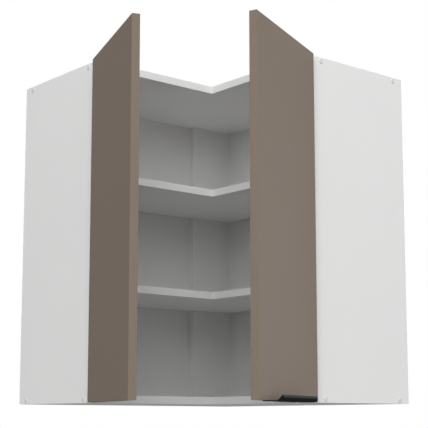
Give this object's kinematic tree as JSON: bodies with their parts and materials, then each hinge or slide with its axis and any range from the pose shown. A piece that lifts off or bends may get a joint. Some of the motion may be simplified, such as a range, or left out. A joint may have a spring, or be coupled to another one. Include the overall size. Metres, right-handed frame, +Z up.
{
  "type": "corner wall cabinet",
  "caption": "Corner wall cabinet with an L-shaped plan, removable shelves and hinged doors that stand open, one with a black edge pull.",
  "frame": {"origin": "room corner, where the two wall planes meet at the level of the cabinet's underside", "axes": "+Z up; +Y out of the back of the right wing, into its wall, so the right wing runs along +X and its front faces -Y; -X out of the back of the left wing, which runs along -Y and faces +X"},
  "size_m": [0.7379, 0.717, 0.7182],
  "materials": {
    "white_laminate": "white laminated chipboard with a fine matt texture and thin edge banding",
    "door_finish": "matt taupe film on board, smooth",
    "back_board": "thin fibreboard, white lacquered inside",
    "hinge_steel": "nickel-plated pressed steel",
    "zinc": "zinc-plated steel",
    "handle_black": "matt black anodised profile",
    "hanger_plastic": "white moulded plastic",
    "cap_plastic": "white plastic caps over the screws",
    "bumper_plastic": "soft clear bumper dots"
  },
  "bodies": {
    "carcass": {"top_panel": "white_laminate", "bottom_panel": "white_laminate", "left_side": "white_laminate", "right_side": "white_laminate", "corner_post": "white_laminate", "left_back_panel": "back_board", "right_back_panel": "back_board", "lower_shelf": "white_laminate", "upper_shelf": "white_laminate", "lower_shelf_pins": "zinc", "upper_shelf_pins": "zinc", "shelf_pegs": "zinc", "carcass_screws": "zinc", "screw_caps": "cap_plastic", "plate_screws": "zinc", "arm_screws": "zinc", "left_hanger": "hanger_plastic", "left_hanger_hook": "zinc", "left_hanger_screws": "zinc", "left_lower_hinge_plate": "hinge_steel", "left_lower_hinge_arm": "hinge_steel", "left_upper_hinge_plate": "hinge_steel", "left_upper_hinge_arm": "hinge_steel", "right_hanger": "hanger_plastic", "right_hanger_hook": "zinc", "right_hanger_screws": "zinc", "right_lower_hinge_plate": "hinge_steel", "right_lower_hinge_arm": "hinge_steel", "right_upper_hinge_plate": "hinge_steel", "right_upper_hinge_arm": "hinge_steel"},
    "left_leaf": {"left_door": "door_finish", "left_cup_screws": "zinc", "left_door_bumpers": "bumper_plastic", "left_lower_hinge_cup": "hinge_steel", "left_upper_hinge_cup": "hinge_steel"},
    "left_lower_lever": {"left_lower_hinge_lever": "hinge_steel"},
    "left_lower_link": {"left_lower_hinge_link": "hinge_steel"},
    "left_upper_lever": {"left_upper_hinge_lever": "hinge_steel"},
    "left_upper_link": {"left_upper_hinge_link": "hinge_steel"},
    "right_leaf": {"right_door": "door_finish", "right_cup_screws": "zinc", "right_door_bumpers": "bumper_plastic", "right_lower_hinge_cup": "hinge_steel", "right_upper_hinge_cup": "hinge_steel", "handle": "handle_black", "handle_screws": "zinc"},
    "right_lower_lever": {"right_lower_hinge_lever": "hinge_steel"},
    "right_lower_link": {"right_lower_hinge_link": "hinge_steel"},
    "right_upper_lever": {"right_upper_hinge_lever": "hinge_steel"},
    "right_upper_link": {"right_upper_hinge_link": "hinge_steel"}
  },
  "joints": [
    {"name": "left_door_hinge", "type": "hinge", "parent": "carcass", "child": "left_leaf", "pos_m": [0.292, -0.6015, 0.357], "axis": [0, 0, -1], "range_deg": [-110, 4]},
    {"name": "left_lower_lever_pivot", "type": "hinge", "parent": "carcass", "child": "left_lower_lever", "pos_m": [0.276, -0.57, 0.1005], "axis": [0, 0, -1], "range_deg": [-110, 4]},
    {"name": "left_lower_link_pivot", "type": "hinge", "parent": "left_lower_lever", "child": "left_lower_link", "pos_m": [0.29484, -0.58111, 0.1005], "axis": [0, 0, -1], "range_deg": [-4, 110]},
    {"name": "left_upper_lever_pivot", "type": "hinge", "parent": "carcass", "child": "left_upper_lever", "pos_m": [0.276, -0.57, 0.6135], "axis": [0, 0, -1], "range_deg": [-110, 4]},
    {"name": "left_upper_link_pivot", "type": "hinge", "parent": "left_upper_lever", "child": "left_upper_link", "pos_m": [0.29484, -0.58111, 0.6135], "axis": [0, 0, -1], "range_deg": [-4, 110]},
    {"name": "right_door_hinge", "type": "hinge", "parent": "carcass", "child": "right_leaf", "pos_m": [0.6015, -0.292, 0.357], "axis": [0, 0, 1], "range_deg": [-114, 0]},
    {"name": "right_lower_lever_pivot", "type": "hinge", "parent": "carcass", "child": "right_lower_lever", "pos_m": [0.57, -0.276, 0.1005], "axis": [0, 0, 1], "range_deg": [-114, 0]},
    {"name": "right_lower_link_pivot", "type": "hinge", "parent": "right_lower_lever", "child": "right_lower_link", "pos_m": [0.5824, -0.29401, 0.1005], "axis": [0, 0, 1], "range_deg": [0, 114]},
    {"name": "right_upper_lever_pivot", "type": "hinge", "parent": "carcass", "child": "right_upper_lever", "pos_m": [0.57, -0.276, 0.6135], "axis": [0, 0, 1], "range_deg": [-114, 0]},
    {"name": "right_upper_link_pivot", "type": "hinge", "parent": "right_upper_lever", "child": "right_upper_link", "pos_m": [0.5824, -0.29401, 0.6135], "axis": [0, 0, 1], "range_deg": [0, 114]}
  ],
  "couplings": [
    {"joint": "left_lower_lever_pivot", "follows": "left_door_hinge", "ratio": 1},
    {"joint": "left_lower_link_pivot", "follows": "left_door_hinge", "ratio": -1},
    {"joint": "left_upper_lever_pivot", "follows": "left_door_hinge", "ratio": 1},
    {"joint": "left_upper_link_pivot", "follows": "left_door_hinge", "ratio": -1},
    {"joint": "right_lower_lever_pivot", "follows": "right_door_hinge", "ratio": 1},
    {"joint": "right_lower_link_pivot", "follows": "right_door_hinge", "ratio": -1},
    {"joint": "right_upper_lever_pivot", "follows": "right_door_hinge", "ratio": 1},
    {"joint": "right_upper_link_pivot", "follows": "right_door_hinge", "ratio": -1}
  ]
}
